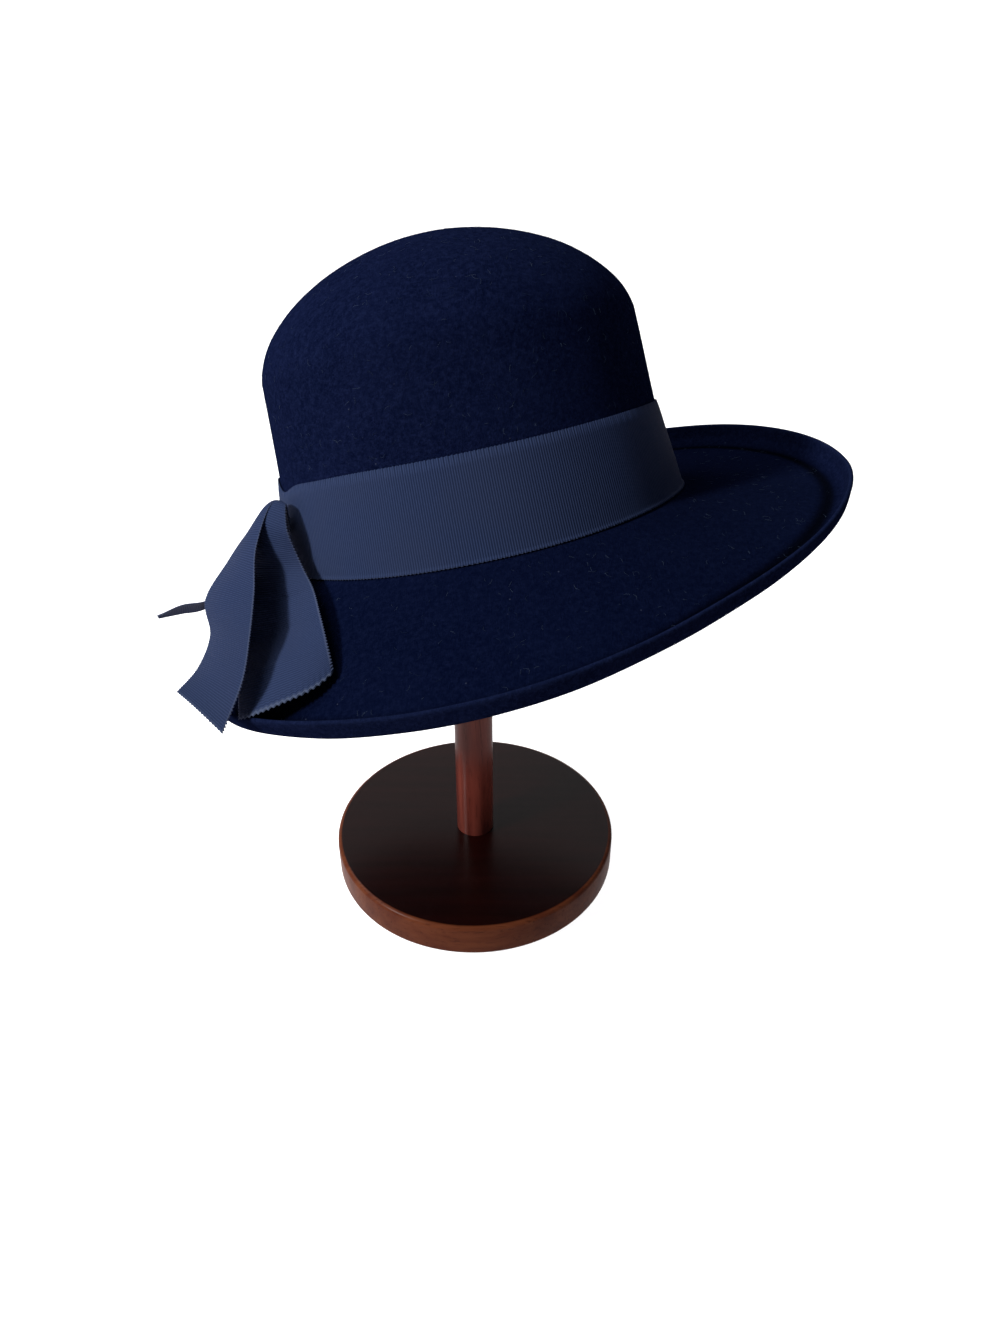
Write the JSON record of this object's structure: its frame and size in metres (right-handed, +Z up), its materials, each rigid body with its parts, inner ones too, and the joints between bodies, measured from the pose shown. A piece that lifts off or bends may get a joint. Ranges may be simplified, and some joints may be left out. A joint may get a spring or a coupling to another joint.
{
  "type": "cloche hat on a wooden stand",
  "caption": "Felt cloche hat with a domed crown, a sweeping brim turned up at its edge, a ribbon band and a flat ribbon bow, resting tilted on a turned wooden stand.",
  "frame": {"origin": "centre of the stand's underside, on the surface it stands on", "axes": "+Z up along the stand's post, +X towards the front of the hat, +Y towards the hat's left"},
  "size_m": [0.3235, 0.2952, 0.3432],
  "materials": {
    "felt": "matte",
    "ribbon": "satin",
    "wood": "satin"
  },
  "bodies": {
    "root": {"felt_hat": "felt", "ribbon_band": "ribbon", "bow_tail_near": "ribbon", "bow_tail_far": "ribbon", "bow_tail_rear": "ribbon", "stand_base": "wood", "stand_post": "wood", "stand_head": "wood"}
  },
  "joints": []
}
